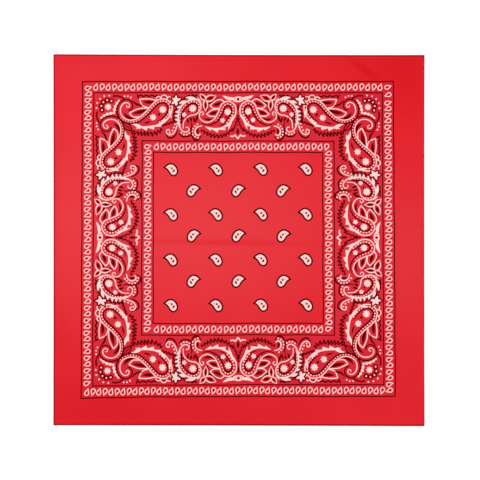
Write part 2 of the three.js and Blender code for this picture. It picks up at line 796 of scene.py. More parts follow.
LARGE_PAISLEY = ScrollPaisley(
    spine=Brush(
        (
            (48.6, 18.4), (49.6, 21.4), (52.6, 21.4), (53.4, 18), (50, 14.8), (45.2, 15.4), (41.4, 19.4),
            (39.8, 25.4), (40.6, 31.6), (45.2, 37.6), (55.5, 41), (66, 38.5), (77, 29.5), (87.5, 17.5),
            (95, 11.2), (107.5, 10), (116, 18.5), (115, 31.5), (105, 44), (98, 48.5),
        ),
        (1.0, 1.5, PEN, PEN, PEN, PEN, PEN, PEN, PEN, 1.7, 2.1, 2.2),
    ),
    dark_gaps=(4.4, 4.8, 5.0, 5.2, 5.6, 5.8, 5.7, 6.0),
    dark_widths=(1.8, 2.3, 2.3, 2.3, 2.4, 2.4, 2.4, 2.4, 1.0),
    dark_from=0.03,
    dots_from=0.24,
    feather=((61, 48), (70, 50.3), (87, 49.6), (97, 46.6), (106, 38)),
    feather_depths=(0.8, 2.4, 2.4, 1.8, 0.6),
    rosettes=((102.7 + 25.3j, 5.5, 8), (88.5 + 37.1j, 4.9, 7)),
    fringe=((57, 55.5), (64, 57.5), (81, 58), (89, 58.5), (96.5, 56), (102, 51.5)),
    fringe_heights=(3.6, 6.0, 7.2, 7.4, 6.4, 4.4),
    leaves=(
        Leaf(
            (68, 10), ((80, 9.5), (93, 11.5)), ((72.5, 19.5), (83, 23.5)), (74 + 14.4j, 90 + 13.8j), 4.0, 0.9
        ),
        Leaf(
            (53, 30.3), ((66, 24.5), (83, 23.5)), ((59, 36), (70.3, 36)), (58.5 + 31j, 80 + 25.5j), 4.3, 1.0
        ),
    ),
    wedges=(
        (45.2 + 28.8j, 62 + 39j, 4.4, 3.6),
        (74 + 46.4j, 86 + 43j, 2.4, 0.3),
        (97.5 + 30j, 97.5 + 35.4j, 3.4, 0),
    ),
    spikes=((112.6 + 22j, 116 + 38.5j, 3.4), (72 + 50.4j, 56.6 + 47j, 3.0), (76 + 51.4j, 62.6 + 53.6j, 3.0)),
)

MIDDLE_PAISLEY = ScrollPaisley(
    spine=Brush(
        (
            (160.5, 33.6), (163.8, 32), (161, 28.2), (157.4, 33), (159, 39.4), (169, 44.3), (180, 38.6),
            (186.5, 26.3), (190.6, 16.8), (200.3, 12.4), (210.2, 19), (211.3, 31.5), (200.5, 49),
        ),
        (1.0, 1.4, PEN, PEN, PEN, PEN, PEN, PEN, 1.8, 2.1, 2.1),
    ),
    dark_gaps=(2.4, 2.6, 3.6, 5.4, 6.8, 6.8, 6.4, 6.6, 6.8, 6.8),
    dark_widths=(0.8, 2.0, 2.4, 2.4, 2.4, 2.4, 2.4, 2.4, 1.2),
    dark_from=0.2,
    dots_from=0.34,
    feather=((166.5, 50.6), (182.5, 52.5), (192, 50.6), (203, 43.5)),
    feather_depths=(0.6, 2.6, 2.6, 1.2),
    rosettes=((199.5 + 28.3j, 5.2, 9), (192.2 + 41j, 3.7, 5)),
    fringe=((161.6, 55), (169, 58), (178, 61), (187, 61.8), (196, 59.8), (203, 55.5), (206.5, 52)),
    fringe_heights=(2.2, 5.0, 6.2, 6.2, 5.6, 4.6, 2.4),
    leaves=(
        Leaf(
            (173, 19),
            ((182, 11.5), (189, 9.8), (195, 14)),
            ((178, 23), (187.3, 23.2)),
            (178 + 18.8j, 190 + 14j),
            3.9,
        ),
        Leaf(
            (168, 32),
            ((176, 26), (186.6, 23.6)),
            ((173, 35), (183, 35.2)),
            (172.5 + 31.6j, 184 + 28.2j),
            4.2,
            0.5,
        ),
    ),
    wedges=(
        (162.6 + 37j, 180 + 37.6j, 3.0, 3.0),
        (186.5 + 48.8j, 197 + 45.6j, 1.6, 0.3),
        (196 + 36j, 199.4 + 36j, 3.2, 0),
    ),
    spikes=((208.6 + 33j, 200.6 + 55.4j, 3.4),),
)


@dataclass(frozen=True)
class Crown:
    """The line and the three loops over the large paisley's head, and the dark strokes round its leaves."""

    riser: Brush = Brush(((64, 2), (65.5, 6), (67, 9)), (1.2, 2.4, 1.8))
    wave_start: Spot = 65.5 + 5j
    wave_step: float = 4.2
    wave_rise: float = 1.0
    wave_steps: int = 8
    wave_width: float = 2.2
    between_leaves: Brush = Brush(((57, 11.5), (64, 17.5), (72, 19.4)), (1.0, 2.9, 2.4))
    loops: tuple[tuple[Spot, float], ...] = ((96.5 + 9.5j, 3.4), (104.6 + 8.3j, 4.6), (112.4 + 9.2j, 3.3))
    bud: Spot = 117.2 + 14.3j

    def draw(self, art: Artwork) -> None:
        """Paint each loop over its own dark arch.

        Args:
            art: What it is painted on.
        """
        self.riser.paint(art, Ink.DARK)
        offsets = [complex(self.wave_step * i, self.wave_rise * (-1) ** i) for i in range(self.wave_steps)]
        art.stroke(Ink.DARK, smooth([self.wave_start + offset for offset in offsets]), self.wave_width)
        self.between_leaves.paint(art, Ink.DARK)
        for middle, radius in self.loops:
            art.stroke(Ink.LIGHT, arc(middle, radius, 180, 180), PEN)
            art.stroke(Ink.DARK, arc(middle, radius - 1.7, 190, 160), 1.2)
        art.ring(Ink.LIGHT, disc(self.bud, 2.7), NIB)
        art.fill(Ink.DARK, disc(self.bud, 0.9, 6))


@dataclass(frozen=True)
class StarFlower:
    """A flower of five pointed petals, as long as their space allows, inside a dark outline."""

    middle: Spot = 122.4 + 11.6j
    petals: tuple[tuple[float, float], ...] = ((-90, 8.3), (-24, 8.0), (86, 9.5), (142, 8.6), (215, 7.0))
    petal_width: float = 3.9
    root: float = 2.0
    layers: tuple[tuple[Ink, float, float], ...] = (
        (Ink.DARK, 2.8, 4.0),
        (Ink.BARE, 0.6, 0.6),
        (Ink.LIGHT, 0, 0),
    )

    def draw(self, art: Artwork) -> None:
        """Paint the outline close round each petal, then the petals.

        Args:
            art: What it is painted on.
        """
        for ink, longer, wider in self.layers:
            for turn, length in self.petals:
                way = cmath.rect(1, math.radians(turn))
                tip = self.middle + way * (length + longer)
                art.fill(ink, spindle(self.middle - way * self.root, tip, self.petal_width + wider))


@dataclass(frozen=True)
class RoundPaisley:
    """A paisley curled over on itself, with a crown of leaves and two rosettes."""

    jag: Pairs = ((153.5, 3), (141, 3.5), (130.5, 9.5), (122.5, 20), (118, 33), (118.5, 45))
    crown: Brush = Brush(
        ((129, 50), (126.2, 38), (129.5, 21), (142, 11.4), (154.5, 11), (158.5, 15)),
        (1.8, 2.0, 2.2, 2.2, 2.2, 2.2, 2.2, 1.8),
    )
    leaves: tuple[tuple[Spot, Spot, float], ...] = (
        (128.5 + 49j, 122.6 + 45j, 3.2),
        (127.6 + 42j, 120.8 + 39.6j, 3.4),
        (127.4 + 36j, 120.2 + 34j, 3.4),
        (128.4 + 29.5j, 121 + 28.5j, 3.6),
        (131.4 + 22.5j, 123.4 + 21.8j, 4.0),
        (140 + 13j, 126.4 + 15.8j, 4.6),
        (155.4 + 11.4j, 136 + 6.8j, 5.2),
    )
    light_lines: tuple[Brush, ...] = (
        Brush(
            ((133.4, 53.5), (134.6, 42.4), (143, 34.6), (153, 32), (159.3, 23.3), (157.6, 11.6), (154.4, 8)),
            (1.0, 1.5, PEN, PEN, PEN),
        ),
        Brush(
            ((126.2, 42), (127.8, 50), (132, 56.4), (138, 58.6), (142.4, 55.4), (140.4, 51.4), (137.4, 51.8)),
            (2.2, 1.8, PEN, PEN, 1.2),
        ),
    )
    inner_line: Brush = Brush(
        ((152.5, 29.8), (154.4, 20), (148.8, 15.8), (138, 21.2), (131.4, 31.5), (131, 46)),
        (1.0, 2.4, 2.4, 2.4, 2.7, 1.8),
    )
    inner_dots: tuple[DotRow, ...] = (
        DotRow(((156.6, 25.5), (156.4, 18), (148, 12.8), (141.6, 14.8)), 4.2),
        DotRow(((136.4, 19), (129.3, 29.4), (128.3, 41)), 4.2, (1.0,)),
    )
    rosettes: tuple[tuple[Spot, float, int], ...] = ((147.4 + 23.5j, 5.6, 10), (134.8 + 32.6j, 3.4, 5))
    pips: tuple[tuple[Spot, float], ...] = ((141.2 + 28.2j, 1.5), (133.2 + 38.6j, 1.4))
    foot_dots: DotRow = DotRow(((131, 59.5), (136.5, 62.8), (142.8, 60.4)), 4.2, (1.3,))
    foot_line: Brush = Brush(((127, 59.6), (132, 65), (143.6, 64), (146.4, 59.2)), (1.3, 2.3, 2.3, 1.3))
    blades: tuple[tuple[Spot, Spot, float], ...] = (
        (138.5 + 36.5j, 142 + 46j, 3.2),
        (143.6 + 36j, 146.4 + 43.5j, 3.2),
        (148.4 + 36j, 151.4 + 45.5j, 3.2),
        (151.4 + 44.5j, 156.6 + 31j, 3.2),
    )
    stalk: Brush = Brush(((145, 44), (146.4, 50), (145.6, 57), (146.2, 64)), (1.2,))

    def draw(self, art: Artwork) -> None:
        """Paint the jagged outline, the crown, the body and its filling.

        Args:
            art: What it is painted on.
        """
        art.jagged(Ink.DARK, zigzag(curve(*self.jag), 6.4, -2.8), 2.3)
        leaves = [spindle(base, tip, width, 0.7) for base, tip, width in self.leaves]
        for leaf in leaves:
            art.ring(Ink.DARK, leaf, 2.0)
        art.fill(Ink.LIGHT, *leaves)
        for line in (self.crown, *self.light_lines):
            line.paint(art, Ink.LIGHT)
        self.inner_line.paint(art, Ink.DARK)
        for row in self.inner_dots:
            row.paint(art)
        for rosette in self.rosettes:
            art.rosette(*rosette)
        art.fill(Ink.DARK, *(disc(middle, radius, 6) for middle, radius in self.pips))
        self.foot_dots.paint(art)
        self.foot_line.paint(art, Ink.DARK)
        art.fill(Ink.DARK, *(spindle(*blade) for blade in self.blades))
        self.stalk.paint(art, Ink.DARK)


@dataclass(frozen=True)
class SideCurl:
    """A small curl that hangs beside the large paisley's head, and the bumpy dark line above it."""

    cradle: Brush = Brush(
        ((106.4, 57), (111.4, 67), (117.5, 66.8), (122, 63), (125.6, 56)), (1.3, 2.4, 2.4, 1.3)
    )
    curl: Brush = Brush(
        (
            (125, 43.4), (123.4, 52), (119.4, 60), (113.6, 63),
            (109, 60.2), (109, 56), (112.4, 54.8), (113.4, 57.2),
        ),
    )
    dots: DotRow = DotRow(((121.6, 46.8), (118, 56), (113.6, 59.6)), 4.6, (1.3,))
    bumps: tuple[Spot, Spot] = (103 + 51j, 122 + 44j)
    bump_rise: float = 3.4
    bump_steps: int = 8

    def draw(self, art: Artwork) -> None:
        """Paint its dark cradle, the curl, its dots and the bumpy line.

        Args:
            art: What it is painted on.
        """
        self.cradle.paint(art, Ink.DARK)
        self.curl.paint(art, Ink.LIGHT)
        self.dots.paint(art)
        start, end = self.bumps
        feet = [start + (end - start) * i / self.bump_steps for i in range(self.bump_steps + 1)]
        art.jagged(Ink.DARK, [foot - 1j * self.bump_rise * (i % 2) for i, foot in enumerate(feet)], 2.1)


@dataclass(frozen=True)
class BeadCurl:
    """A small curl strung with beads on its outer side."""

    cradle: Brush = Brush(
        ((147, 47.5), (145.2, 57), (149, 69), (156, 70), (160.6, 64.2)), (1.4, 2.4, 2.4, 1.3)
    )
    curl: Brush = Brush(
        ((161.4, 49.6), (154.6, 51.6), (151.4, 57), (152.6, 62.2), (156.4, 63.8), (159, 61.4)),
        (1.4, PEN, 2.0, PEN),
    )
    eye: tuple[Spot, Spot, float, float] = (155.4 + 53j, 155.4 + 62.4j, 3.4, 0.5)
    beads: DotRow = DotRow(((154.7, 47.3), (148.5, 53.8), (148.3, 63.2), (155.4, 67.3)), 4.6, (1.3,))

    def draw(self, art: Artwork) -> None:
        """Paint its dark cradle, the curl, its eye and the beads.

        Args:
            art: What it is painted on.
        """
        self.cradle.paint(art, Ink.DARK)
        self.curl.paint(art, Ink.LIGHT)
        art.fill(Ink.DARK, spindle(*self.eye))
        self.beads.paint(art)


@dataclass(frozen=True)
class TrefoilLeaf:
    """Three leaves that meet, one outline round them, with dark hearts and a curled dark stem."""

    joint: Spot = 166 + 11j
    lobes: tuple[tuple[Spot, float], ...] = ((158.6 + 2.6j, 6.4), (181 + 5j, 8.6), (166.8 + 26.5j, 6.4))
    stem: Brush = Brush(
        ((187.8, 5.6), (178.7, 12.8), (170.4, 17.6), (168.6, 27), (161.6, 22)), (0.8, 2.3, 2.3, 1.2)
    )
    outline: float = 1.6

    def draw(self, art: Artwork) -> None:
        """Paint the stem, the outlines, what they enclose and the hearts.

        Args:
            art: What it is painted on.
        """
        self.stem.paint(art, Ink.DARK)
        for tip, width in self.lobes:
            art.ring(Ink.LIGHT, spindle(self.joint + (self.joint - tip) * 0.12, tip, width), self.outline)
        art.fill(Ink.BARE, *(spindle(self.joint, tip, width - self.outline) for tip, width in self.lobes))
        for tip, width in self.lobes:
            reach = tip - self.joint
            art.fill(Ink.DARK, spindle(self.joint + reach * 0.2, self.joint + reach * 0.8, width * 0.46))


@dataclass(frozen=True)
class MiddlePost:
    """What stands on the middle line of a side: an interlaced flower, a stem, a small tree and a drop."""

    line: float = 215.0
    flower_depth: float = 9.8
    leaf: Pairs = ((192, 4.2), (200, 5.8), (208, 7.4), (204.6, 11), (197.7, 9.4))
    ovals: tuple[tuple[Ink, float, float], ...] = ((Ink.LIGHT, 8.8, 4.3), (Ink.BARE, 7.2, 2.6))
    ring_radius: float = 3.2
    stems: tuple[tuple[float, float, float], ...] = ((14.6, 29, 3.0), (52.5, 63.5, 4.4))
    tree: Pairs = ((213.6, 33.5), (212, 42), (209, 50.5), (206, 57.5))
    trunk: tuple[float, float] = (35.0, 50.0)
    swag: Pairs = ((203.4, 64.4), (207.6, 65.2), (210.8, 63.2), (212.8, 66), (215, 68.8))

    def draw(self, art: Artwork) -> None:
        """Paint the post, whole, across the middle line.

        Args:
            art: What it is painted on.
        """
        art.fill(Ink.LIGHT, loop(*self.leaf))
        self.flower(art)
        stem, drop = (
            spindle(complex(self.line, top), complex(self.line, foot), wide) for top, foot, wide in self.stems
        )
        art.fill(Ink.DARK, stem)
        art.jagged(Ink.DARK, zigzag(curve(*self.tree), 5.4, -2.4), 1.9)
        art.stroke(Ink.DARK, curve(*((self.line, depth) for depth in self.trunk)), 0.5, 1.5, 0.8, 1.5)
        art.fill(Ink.DARK, drop)
        art.stroke(Ink.LIGHT, spots(*self.swag), NIB)

    def flower(self, art: Artwork) -> None:
        """Paint the interlaced flower: an oval ring, a wing on each side of its ring and a dark eye.

        Args:
            art: What it is painted on.
        """
        middle = complex(self.line, self.flower_depth)
        for ink, wide, deep in self.ovals:
            art.fill(ink, [middle + complex(wide * math.cos(a), deep * math.sin(a)) for a in ring_turns(20)])
        for side in (-1, 1):
            art.fill(Ink.LIGHT, spindle(middle + 1.5 * side, middle + 8 * side, 2.4))
            art.fill(Ink.DARK, disc(middle + 5.2 * side, 0.6, 6))
        ring = disc(middle, self.ring_radius, 12)
        art.fill(Ink.BARE, ring)
        art.ring(Ink.LIGHT, ring, 1.3)
        art.fill(Ink.DARK, disc(middle, 1.5))


# ---------------------------------------------------------------- where the print goes


@dataclass
class Stamp:
    """Artwork cut into patches of each ink that don't overlap, ready to be printed many times."""

    points: Path
    patches: dict[Ink, list[tuple[int, ...]]]

    @classmethod
    def cut(cls, art: Artwork, within: Path | None = None) -> "Stamp":
        """Keep of each shape only what no later shape covers.

        Args:
            art: The shapes, painted one over another.
            within: An outline that everything is trimmed to, if any.

        Returns:
            The stamp.
        """
        layers = [(Ink.BARE, within)] if within else []
        layers += [(ink, outline) for ink, outline in art.shapes if abs(signed_area(outline)) > 1e-5]
        corners, faces = [], []
        for _, outline in layers:
            turned = outline if signed_area(outline) > 0 else outline[::-1]
            faces.append(list(range(len(corners), len(corners) + len(turned))))
            corners += [Vector((spot.real, spot.imag)) for spot in turned]
        inside_only = 1
        points, _, patches, _, _, covers = delaunay_2d_cdt(corners, [], faces, inside_only, 1e-4, True)
        found = {ink: [] for ink in Ink}
        for patch, covered in zip(patches, covers):
            trimmed = within and 0 not in covered
            if covered and not trimmed:
                found[layers[max(covered)][0]].append(tuple(patch))
        return cls([complex(*point) for point in points], found)


def signed_area(outline: Path) -> float:
    """Return an outline's area, negative where it runs clockwise."""
    return sum((a.conjugate() * b).imag for a, b in zip(outline, [*outline[1:], outline[0]])) / 2


QUARTER_TURNS = (1, 1j, -1, -1j)


@dataclass(frozen=True)
class PrintFrame:
    """The four lines of the border, in millimetres from the middle, and where the whole print lies."""

    outer: float = 231.6
    field_of_paisleys: float = 214.8
    ledge: float = 142.6
    inner: float = 125.8
    line_width: float = 1.6
    left_shift: tuple[float, float] = (-2.6, -0.8)
    right_shift: tuple[float, float] = (0.7, -2.2)
    rise: tuple[float, float, float] = (4.0, 2.2, -2.2)
    corner_sag: float = 2.9
    wander: float = 0.28
    shrunk: float = 0.9979

    def lay(self, spot: Spot) -> Spot:
        """Return where a point of the true print lies: a little out of square, bowed and uneven.

        Args:
            spot: The point in the true square print, in millimetres to the right of and above its middle.

        Returns:
            The point on the cloth as it lies.
        """
        across = spot.real / self.outer
        up = spot.imag / self.outer
        shifts = [low + (high - low) * (up + 1) / 2 for low, high in (self.left_shift, self.right_shift)]
        aside = shifts[0] + (shifts[1] - shifts[0]) * (across + 1) / 2
        level, tilt, bow = self.rise
        sag = self.corner_sag * ((1 - across) * (1 - up) / 4) ** 4
        lifted = complex(aside, level + tilt * up + bow * up**2 - sag)
        ripple = math.sin(spot.real / 12) + 0.6 * math.sin(spot.real / 29)
        uneven = complex(math.sin(spot.imag / 16 + 1), ripple)
        return (spot + lifted + self.wander * uneven) * self.shrunk

    def lines(self) -> Artwork:
        """Draw the four dark lines, true and square.

        Returns:
            The lines, each side in short legs so that it can bow as the print lies.
        """
        art = Artwork()
        for half in (self.outer, self.field_of_paisleys, self.ledge, self.inner):
            for turn in QUARTER_TURNS:
                side = even([complex(-half, half) * turn, complex(half, half) * turn], 5)
                ends = self.line_width / 2 * turn
                art.stroke(Ink.DARK, [side[0] - ends, *side[1:-1], side[-1] + ends], self.line_width)
        return art


class Way(Enum):
    """Which way a row's first drop points."""

    UP = 0
    DOWN = 1
    RIGHT = 2
    LEFT = 3


@dataclass(frozen=True)
class RingedDrop:
    """A light drop-shaped ring with a dark kernel, its tip leaning to one side."""

    tip: Spot = 1.6 + 4.7j
    bulb: Spot = -0.4 - 1.5j
    radius: float = 3.0
    ring: float = 1.42
    kernel: float = 0.55

    def draw(self) -> Artwork:
        """Draw the drop, its tip up.

        Returns:
            The ring and its kernel.
        """
        art = Artwork()
        art.ring(Ink.LIGHT, teardrop(self.tip, self.bulb, self.radius), self.ring)
        kernel_tip = self.bulb + (self.tip - self.bulb) * 0.5
        art.fill(Ink.DARK, teardrop(kernel_tip, self.bulb - 0.2j, self.kernel, 8))
        return art

    @staticmethod
    def turned(way: Way) -> Move:
        """Find the move that points a drop one way; those that lie on their side are also mirrored.

        Args:
            way: Which way the tip is to point.

        Returns:
            The move.
        """
        return {
            Way.UP: lambda spot: spot,
            Way.DOWN: lambda spot: -spot,
            Way.LEFT: lambda spot: complex(-spot.imag, -spot.real),
            Way.RIGHT: lambda spot: complex(spot.imag, spot.real),
        }[way]


@dataclass(frozen=True)
class DropRow:
    """One row of drops, each turned half round from the one before."""

    start: Spot
    end: Spot
    steps: int
    ways: tuple[Way, Way]

    def moves(self) -> list[Move]:
        """Return the move that takes a drop to each of its places."""
        return [self.move(i) for i in range(self.steps + 1)]

    def move(self, step: int) -> Move:
        """Find the move to one place in the row.

        Args:
            step: The place's number, from 0.

        Returns:
            The move.
        """
        at = self.start + (self.end - self.start) * step / self.steps
        turn = RingedDrop.turned(self.ways[step % 2])
        return lambda spot: at + turn(spot)


@dataclass(frozen=True)
class DropBands:
    """The two bands of drops that edge the border, each with rows of its own."""

    outer: float = 223.2
    inner: float = 134.2

    def rows(self) -> list[DropRow]:
        """List the rows; those down the sides hold most of the corners.

        Returns:
            The rows, the outer band's and then the inner band's.
        """
        upright = (Way.UP, Way.DOWN)
        lying = (Way.RIGHT, Way.LEFT)
        far, near = self.outer, self.inner
        return [
            DropRow(complex(-211.8, far), complex(211.6, far), 46, upright),
            DropRow(complex(-far, far - 1.2), complex(-far, -210.4), 48, lying),
            DropRow(complex(-far, -far), complex(212.6, -far), 49, upright),
            DropRow(complex(far, far), complex(far, 211.5), 1, lying),
            DropRow(complex(far, 199.6), complex(far, -far), 47, lying),
            DropRow(complex(-121.1, near), complex(131.6, near), 27, upright),
            DropRow(complex(-near, near), complex(-near, -near), 30, lying),
            DropRow(complex(-120.3, -near), complex(122.2, -near), 26, upright),
            DropRow(complex(near, 124.7), complex(near, 1.0 - near), 29, lying[::-1]),
        ]


@dataclass(frozen=True)
class BorderUnit:
    """One eighth of the border: half of a side, from the corner's diagonal to the middle line."""

    frame: PrintFrame

    def draw(self) -> Artwork:
        """Draw the motifs; x runs along the side from the corner and y inwards.

        Returns:
            The motifs, one over another.
        """
        art = Artwork()
        for motif in (
            CornerSpray(), LARGE_PAISLEY, Crown(), StarFlower(), SideCurl(), RoundPaisley(),
            BeadCurl(), TrefoilLeaf(), MIDDLE_PAISLEY, MiddlePost(),
        ):
            motif.draw(art)
        return art

    def outline(self) -> Path:
        """Find the unit's own ground, which it is trimmed to.

        Returns:
            The outline: half a side of the border, mitred at the corner.
        """
        half = self.frame.field_of_paisleys
        depth = half - self.frame.ledge
        return spots((0, 0), (half, 0), (half, depth), (depth, depth))

    def moves(self) -> list[Move]:
        """Return the moves to the eight places round the border."""
        return [self.move(turn, mirrored) for turn in QUARTER_TURNS for mirrored in (False, True)]

    def move(self, turn: Spot, mirrored: bool) -> Move:
        """Find the move to one place round the border.

        Args:
            turn: The side's quarter turn.
            mirrored: Whether the unit starts at the side's other corner.

        Returns:
            The move.
        """
        corner = complex(-self.frame.field_of_paisleys, self.frame.field_of_paisleys)

        def moved(spot: Spot) -> Spot:
            """Return where a spot of the unit goes."""
            at = corner + spot.conjugate()
            return turn * (-at.conjugate() if mirrored else at)

        return moved


@dataclass(frozen=True)
class FieldSprigs:
    """Small plump paisleys over the middle, four to a row facing left and three facing right."""

    pitch: float = 66.6
    left_facing: Spot = 0.6 + 0.25j
    right_facing: Spot = 0.3 + 2.2j
    middle: Spot = 0.2 - 1.6j
    body: Pairs = (
        (-10.3, 1.4), (-5.6, 5.6), (-0.2, 7.4), (5.7, 4.5), (9.5, -3), (7.8, -8.1),
        (3.2, -10.3), (-1.2, -7.6), (-4.2, -3), (-7.2, 0), (-10.3, 1.4),
    )
    outline: float = 2.4
    fleck: tuple[Spot, Spot, float] = (-4 + 1.6j, -1.2 + 2j, 1.1)
    marks: tuple[tuple[Spot, Spot, float], ...] = (
        (0.1 + 2.4j, 1.7 - 1.2j, 3.7),
        (5.3 - 0.4j, 2.3 - 5.8j, 3.5),
    )

    def draw(self) -> Artwork:
        """Draw one sprig, its tip to the left.

        Returns:
            The light body, its dark outline and the marks inside it.
        """
        body = curve(*self.body)[:-1]
        art = Artwork()
        art.fill(Ink.LIGHT, body)
        art.ring(Ink.DARK, body, self.outline)
        art.fill(Ink.DARK, spindle(*self.fleck))
        for start, end, width in self.marks:
            art.fill(Ink.BARE, spindle(start, end, width))
            art.fill(Ink.DARK, spindle(start, end, width * 0.45))
        return art

    def moves(self) -> list[Move]:
        """Find the moves to all the sprigs' places: rows of four, and between them rows of three.

        Returns:
            One move for each sprig.
        """
        rows = [(4, i - 1.5, self.left_facing, 1) for i in range(4)]
        rows += [(3, i - 1.0, self.right_facing, -1) for i in range(3)]
        return [
            self.move(centre + self.pitch * complex(i - (count - 1) / 2, -step), side)
            for count, step, centre, side in rows
            for i in range(count)
        ]

    def move(self, at: Spot, side: int) -> Move:
        """Find the move to one place.

        Args:
            at: The sprig's middle.
            side: -1 where it is mirrored, to face right.

        Returns:
            The move.
        """

        def moved(spot: Spot) -> Spot:
            """Return where a spot of the sprig goes."""
            off = spot - self.middle
            return at + complex(off.real * side, off.imag)

        return moved


# ---------------------------------------------------------------- finishes


Inputs = dict[str | int, object]


class NodeBoard:
    """Adds nodes to a material's or a group's tree and wires them."""

    def __init__(self, tree: bpy.types.NodeTree) -> None:
        """Start on an empty tree."""
        self.tree = tree
        tree.nodes.clear()

    def add(self, kind: str, inputs: Inputs | None = None, **settings: object) -> bpy.types.Node:
        """Add one node.

        Args:
            kind: The node's type.
            inputs: Its inputs by name or number: a socket to wire in, or a plain value.
            settings: Its own settings.

        Returns:
            The node.
        """
        node = self.tree.nodes.new(kind)
        for name, value in settings.items():
            setattr(node, name, value)
        for name, value in (inputs or {}).items():
            self.feed(node.inputs[name], value)
        return node

    def feed(self, socket: bpy.types.NodeSocket, value: object) -> None:
        """Wire a socket into another, or set its own value.

        Args:
            socket: The input.
            value: What feeds it: another node's output, or a plain value.
        """
        if isinstance(value, bpy.types.NodeSocket):
            self.tree.links.new(value, socket)
        else:
            socket.default_value = value

    def math(self, operation: str, *values: object) -> bpy.types.NodeSocket:
        """Return the result of one sum on sockets or numbers."""
        return self.add("ShaderNodeMath", dict(enumerate(values)), operation=operation).outputs[0]

    def vector(self, operation: str, inputs: Inputs) -> bpy.types.NodeSocket:
        """Return the result of one sum on vectors."""
        return self.add("ShaderNodeVectorMath", inputs, operation=operation).outputs[0]

    def mix(self, share: object, low: object, high: object) -> bpy.types.NodeSocket:
        """Return a colour between two others."""
        node = self.add("ShaderNodeMix", {0: share, 6: low, 7: high}, data_type="RGBA")
        return node.outputs[2]

    def ramp(self, value: object, low: float, high: float, *to: float) -> bpy.types.NodeSocket:
        """Return a number moved from one range to another, 0 to 1 if none is given, and held inside it."""
        inputs = dict(enumerate((value, low, high, *(to or (0.0, 1.0)))))
        return self.add("ShaderNodeMapRange", inputs).outputs[0]

    def noise(self, vector: object, scale: object, detail: float = 2.0) -> bpy.types.NodeSocket:
        """Return soft noise from 0 to 1."""
        inputs = {"Vector": vector, "Scale": scale, "Detail": detail}
        return self.add("ShaderNodeTexNoise", inputs).outputs["Fac"]

    def surface(self, inputs: Inputs) -> None:
        """Finish a material with one shader and its output.

        Args:
            inputs: The shader's inputs by name.
        """
        shader = self.add("ShaderNodeBsdfPrincipled", inputs)
        self.add("ShaderNodeOutputMaterial", {"Surface": shader.outputs[0]})

    def group(self, tree: bpy.types.NodeTree, **values: object) -> bpy.types.Node:
        """Place a shared group with its own values.

        Args:
            tree: The group.
            values: Its inputs, with the spaces of their names written as underscores.

        Returns:
            The group's node.
        """
        node = self.tree.nodes.new("ShaderNodeGroup")
        node.node_tree = tree
        for name, value in values.items():
            self.feed(node.inputs[name.replace("_", " ")], value)
        return node


def start_group(name: str, inputs: dict[str, object], outputs: tuple[str, ...]) -> NodeBoard:
    """Make an empty shader node group.

    Args:
        name: The group's name.
        inputs: Default values by name; None makes a vector input.
        outputs: Names of its number outputs.

    Returns:
        The board on which its nodes are added.
    """
    tree = bpy.data.node_groups.new(name, "ShaderNodeTree")
    for label, value in inputs.items():
        kind = "NodeSocketVector" if value is None else "NodeSocketFloat"
        socket = tree.interface.new_socket(label, in_out="INPUT", socket_type=kind)
        if value is not None:
            socket.default_value = value
    for label in outputs:
        tree.interface.new_socket(label, in_out="OUTPUT", socket_type="NodeSocketFloat")
    return NodeBoard(tree)


